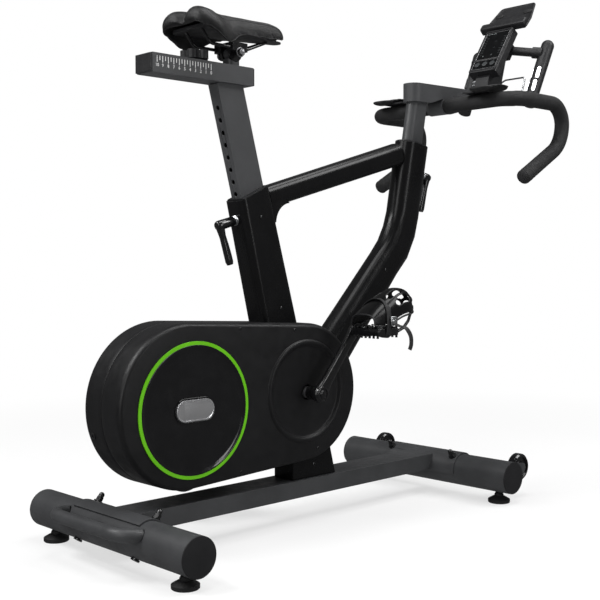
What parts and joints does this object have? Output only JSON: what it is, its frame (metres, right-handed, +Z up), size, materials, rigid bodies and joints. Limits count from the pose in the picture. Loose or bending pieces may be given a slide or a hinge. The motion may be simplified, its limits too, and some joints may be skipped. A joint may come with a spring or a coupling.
{
  "type": "exercise bike",
  "caption": "Indoor cycling bike with a belt-driven flywheel, an adjustable saddle and drop handlebar, a display and a levelled base with transport wheels.",
  "frame": {"origin": "on the floor, under the centre of the whole machine's bounding box", "axes": "+X towards the handlebar (the way the rider faces), +Y towards the rider's left, +Z up"},
  "size_m": [1.4136, 0.52, 1.2795],
  "materials": {
    "charcoal_coat": "fine satin powder coat, charcoal",
    "black_coat": "smooth satin powder coat, near black",
    "casing_plastic": "fine grained moulded black",
    "black_plastic": "moulded black, slightly worn satin",
    "gloss_black": "polished black",
    "black_paint": "glossy black enamel",
    "green_trim": "bright green gloss",
    "badge_silver": "brushed plate",
    "steel": "zinc plated",
    "cast_steel": "machined, lightly oiled",
    "black_rubber": "matt rubber",
    "foam": "closed cell foam, very matt",
    "saddle_cover": "soft synthetic leather, fine grain",
    "chrome_strip": "polished",
    "screen": "dark display window"
  },
  "bodies": {
    "frame": {"base_beam": "charcoal_coat", "rear_stabilizer": "charcoal_coat", "front_stabilizer": "charcoal_coat", "stabilizer_caps": "black_plastic", "beam_bolts": "steel", "carry_handle": "charcoal_coat", "pedestal": "black_coat", "seat_tube": "black_coat", "top_tube": "black_coat", "down_tube": "black_coat", "drive_frame": "charcoal_coat", "bearings": "steel", "casing_right": "casing_plastic", "casing_left": "casing_plastic", "ring_trims": "green_trim", "disc_covers": "gloss_black", "disc_badges": "badge_silver", "power_inlet": "black_plastic", "drive_belt": "black_rubber", "brake_motor": "black_plastic", "post_sleeves": "black_plastic"},
    "rear_right_foot": {"foot_rear_right": "black_rubber"},
    "rear_left_foot": {"foot_rear_left": "black_rubber"},
    "front_right_foot": {"foot_front_right": "black_rubber"},
    "front_left_foot": {"foot_front_left": "black_rubber"},
    "wheel_right": {"transport_wheel_right": "black_rubber"},
    "wheel_left": {"transport_wheel_left": "black_rubber"},
    "crank": {"crank_axle": "steel", "drive_pulley": "black_plastic", "crank_arms": "black_paint", "pedal_spindles": "steel"},
    "right_pedal": {"pedal_right": "black_paint", "toe_cage_right": "gloss_black"},
    "left_pedal": {"pedal_left": "black_paint", "toe_cage_left": "gloss_black"},
    "flywheel_body": {"flywheel": "cast_steel"},
    "brake": {"magnet_bracket": "charcoal_coat", "brake_magnets": "steel"},
    "post": {"seat_post": "charcoal_coat", "rail_end_caps": "black_plastic"},
    "carriage": {"saddle_carriage": "charcoal_coat"},
    "knob": {"slide_knob": "black_plastic"},
    "saddle": {"saddle_clamp": "black_paint", "saddle_rails": "steel", "saddle_shell": "black_plastic", "saddle_pad": "saddle_cover"},
    "post_lever": {"seat_lever": "black_plastic"},
    "bars": {"bar_post": "charcoal_coat", "handlebar": "charcoal_coat", "bar_grips": "foam", "aero_frame": "charcoal_coat", "pulse_sensors": "chrome_strip", "arm_pads": "foam", "console_body": "black_plastic", "console_screen": "screen", "tablet_holder": "black_plastic"},
    "bars_lever": {"bar_lever": "black_plastic"},
    "left_key": {"key_left": "gloss_black"},
    "centre_key": {"key_centre": "gloss_black"},
    "right_key": {"key_right": "gloss_black"}
  },
  "joints": [
    {"name": "seat_height", "type": "slide", "parent": "frame", "child": "post", "axis": [-0.2588, 0, 0.9659], "range_m": [-0.15, 0.08]},
    {"name": "saddle_slide", "type": "slide", "parent": "post", "child": "carriage", "axis": [1, 0, 0], "range_m": [-0.09, 0.02]},
    {"name": "slide_knob_turn", "type": "hinge", "parent": "carriage", "child": "knob", "pos_m": [-0.42382, 0, 0.985], "axis": [0, 0, 1], "range_deg": [-180, 180]},
    {"name": "saddle_tilt", "type": "hinge", "parent": "carriage", "child": "saddle", "pos_m": [-0.32982, 0, 1.008], "axis": [0, 1, 0], "range_deg": [-10, 10]},
    {"name": "seat_lever_turn", "type": "hinge", "parent": "frame", "child": "post_lever", "pos_m": [-0.31887, 0, 0.664], "axis": [0.9659, 0, 0.2588], "range_deg": [-120, 120]},
    {"name": "bar_height", "type": "slide", "parent": "frame", "child": "bars", "axis": [0.196, 0, 0.9806], "range_m": [-0.07, 0.05]},
    {"name": "bar_lever_turn", "type": "hinge", "parent": "frame", "child": "bars_lever", "pos_m": [0.28163, 0, 0.7901], "axis": [0.9806, 0, -0.196], "range_deg": [-120, 120]},
    {"name": "flywheel_spin", "type": "hinge", "parent": "frame", "child": "flywheel_body", "pos_m": [-0.47842, 0, 0.2856], "axis": [0, 1, 0], "continuous": true},
    {"name": "crank_spin", "type": "hinge", "parent": "frame", "child": "crank", "pos_m": [-0.16882, 0, 0.293], "axis": [0, 1, 0], "continuous": true},
    {"name": "right_pedal_spin", "type": "hinge", "parent": "crank", "child": "right_pedal", "pos_m": [-0.06138, -0.16, 0.42474], "axis": [0, 1, 0], "continuous": true},
    {"name": "left_pedal_spin", "type": "hinge", "parent": "crank", "child": "left_pedal", "pos_m": [-0.27626, 0.16, 0.16126], "axis": [0, 1, 0], "continuous": true},
    {"name": "brake_swing", "type": "hinge", "parent": "frame", "child": "brake", "pos_m": [-0.32582, 0, 0.385], "axis": [0, 1, 0], "range_deg": [-1, 8]},
    {"name": "right_wheel_spin", "type": "hinge", "parent": "frame", "child": "wheel_right", "pos_m": [0.39418, -0.216, 0.073], "axis": [0, 1, 0], "continuous": true},
    {"name": "left_wheel_spin", "type": "hinge", "parent": "frame", "child": "wheel_left", "pos_m": [0.39418, 0.216, 0.073], "axis": [0, 1, 0], "continuous": true},
    {"name": "rear_right_foot_turn", "type": "hinge", "parent": "frame", "child": "rear_right_foot", "pos_m": [-0.62482, -0.219, 0], "axis": [0, 0, 1], "continuous": true},
    {"name": "rear_left_foot_turn", "type": "hinge", "parent": "frame", "child": "rear_left_foot", "pos_m": [-0.62482, 0.219, 0], "axis": [0, 0, 1], "continuous": true},
    {"name": "front_right_foot_turn", "type": "hinge", "parent": "frame", "child": "front_right_foot", "pos_m": [0.31318, -0.219, 0], "axis": [0, 0, 1], "continuous": true},
    {"name": "front_left_foot_turn", "type": "hinge", "parent": "frame", "child": "front_left_foot", "pos_m": [0.31318, 0.219, 0], "axis": [0, 0, 1], "continuous": true},
    {"name": "left_key_press", "type": "slide", "parent": "bars", "child": "left_key", "axis": [0.8271, 0, -0.5621], "range_m": [0, 0.0012], "stiffness_N_per_m": 400, "springref_m": -0.0005},
    {"name": "centre_key_press", "type": "slide", "parent": "bars", "child": "centre_key", "axis": [0.8271, 0, -0.5621], "range_m": [0, 0.0012], "stiffness_N_per_m": 400, "springref_m": -0.0005},
    {"name": "right_key_press", "type": "slide", "parent": "bars", "child": "right_key", "axis": [0.8271, 0, -0.5621], "range_m": [0, 0.0012], "stiffness_N_per_m": 400, "springref_m": -0.0005}
  ],
  "couplings": [
    {"joint": "crank_spin", "follows": "flywheel_spin", "ratio": 0.31579}
  ]
}
